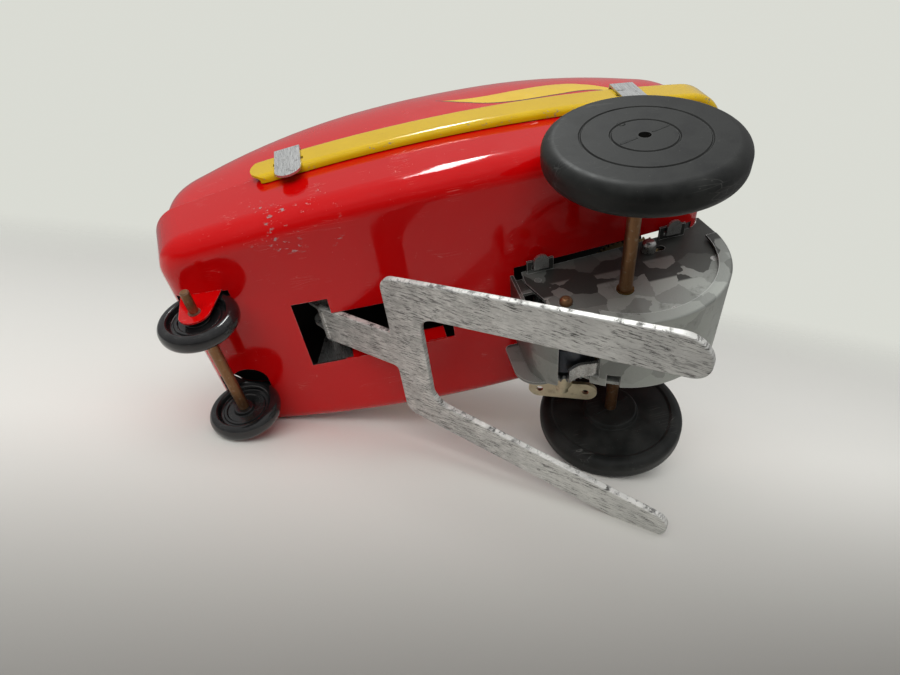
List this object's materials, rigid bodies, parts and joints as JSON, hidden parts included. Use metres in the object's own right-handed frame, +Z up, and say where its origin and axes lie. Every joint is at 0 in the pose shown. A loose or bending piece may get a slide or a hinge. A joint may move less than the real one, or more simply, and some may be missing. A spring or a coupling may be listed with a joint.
{
  "type": "wind-up somersaulting tin car",
  "caption": "Clockwork tin car with a two-shell body, small front and large rear wheels, and a forked lever under the belly that throws it over.",
  "frame": {"origin": "on the middle plane, under the middle of the toy at the level of the lever's tips; the rear axle is at x = -0.0392, z = 0.0422 m", "axes": "+X to the nose, +Y to the car's left, +Z up; the body is raked nose down by 12.5 degrees over its wheels"},
  "size_m": [0.136, 0.0858, 0.1137],
  "materials": {
    "red_litho_tin": "satin printed tinplate",
    "red_enamel_tin": "glossy enamel, scratched",
    "yellow_enamel_tin": "glossy enamel",
    "bare_tin": "bare tinplate, dull",
    "bronze_rod": "brown bronzed wire",
    "black_gloss_plastic": "moulded, glossy",
    "black_rubber": "moulded, dusty",
    "brass": "cut brass",
    "pale_brass": "thin pale plating",
    "bright_steel": "plated",
    "galvanised_sheet": "zinc coated, large soft spangles",
    "spring_steel": "blue-black, oiled",
    "dark_steel": "dull grey",
    "scratched_zinc": "soft grey sheet, worn and streaked"
  },
  "bodies": {
    "body": {"top_shell": "red_litho_tin", "bottom_pan": "red_enamel_tin", "seam_trim_left": "yellow_enamel_tin", "seam_trim_right": "yellow_enamel_tin", "seam_tabs": "bare_tin", "axle_bushes": "brass", "motor_plate_left": "galvanised_sheet", "motor_plate_right": "galvanised_sheet", "motor_pillars": "bright_steel", "drum_band": "galvanised_sheet", "front_strap": "galvanised_sheet", "fixing_tongues": "bare_tin", "mainspring": "spring_steel", "stop_pin": "bright_steel", "lever_pin": "bright_steel", "lever_brackets": "bare_tin"},
    "front_axle_set": {"front_axle": "bronze_rod", "front_wheel_left": "black_gloss_plastic", "front_wheel_right": "black_gloss_plastic"},
    "rear_axle_set": {"rear_axle": "bronze_rod", "rear_wheel_left": "black_rubber", "rear_wheel_right": "black_rubber", "axle_pinion": "brass", "crank_pinion": "brass", "axle_sleeve": "bright_steel"},
    "key_set": {"winding_arbor": "bronze_rod", "winding_key": "pale_brass", "ratchet_wheel": "bright_steel"},
    "great_wheel_set": {"great_wheel": "dark_steel", "click_rivet": "bright_steel"},
    "click_set": {"click": "bright_steel"},
    "crank_set": {"crank_wheel": "brass", "crank_arbor": "bright_steel", "crank_pin": "bright_steel"},
    "stop_lever_set": {"stop_lever": "bright_steel"},
    "flip_lever_set": {"flip_lever": "scratched_zinc"},
    "push_rod_set": {"push_rod": "bright_steel"}
  },
  "joints": [
    {"name": "front_axle_spin", "type": "hinge", "parent": "body", "child": "front_axle_set", "pos_m": [0.05342, 0, 0.03192], "axis": [0, 1, 0], "continuous": true},
    {"name": "rear_axle_spin", "type": "hinge", "parent": "body", "child": "rear_axle_set", "pos_m": [-0.03925, 0, 0.04223], "axis": [0, 1, 0], "continuous": true},
    {"name": "great_wheel_spin", "type": "hinge", "parent": "body", "child": "great_wheel_set", "pos_m": [-0.02558, 0, 0.0392], "axis": [0, 1, 0], "continuous": true},
    {"name": "crank_spin", "type": "hinge", "parent": "body", "child": "crank_set", "pos_m": [-0.04743, 0, 0.05569], "axis": [0, 1, 0], "continuous": true},
    {"name": "key_wind", "type": "hinge", "parent": "body", "child": "key_set", "pos_m": [-0.02558, 0, 0.0392], "axis": [0, 1, 0], "range_deg": [0, 1800]},
    {"name": "click_lift", "type": "hinge", "parent": "great_wheel_set", "child": "click_set", "pos_m": [-0.01993, 0, 0.03994], "axis": [0, 1, 0], "range_deg": [0, 12]},
    {"name": "stop_swing", "type": "hinge", "parent": "body", "child": "stop_lever_set", "pos_m": [-0.0348, -0.009, 0.03458], "axis": [0, 1, 0], "range_deg": [0, 2.8]},
    {"name": "lever_swing", "type": "hinge", "parent": "body", "child": "flip_lever_set", "pos_m": [0.03292, 0, 0.05081], "axis": [0, -1, 0], "range_deg": [-17, 38]},
    {"name": "rod_pivot", "type": "hinge", "parent": "flip_lever_set", "child": "push_rod_set", "pos_m": [0.03465, 0, 0.05862], "axis": [0, -1, 0], "range_deg": [-39, 18]}
  ],
  "couplings": [
    {"joint": "great_wheel_spin", "follows": "rear_axle_spin", "ratio": -1},
    {"joint": "crank_spin", "follows": "rear_axle_spin", "ratio": -0.23529},
    {"joint": "rod_pivot", "follows": "lever_swing", "ratio": -1}
  ]
}
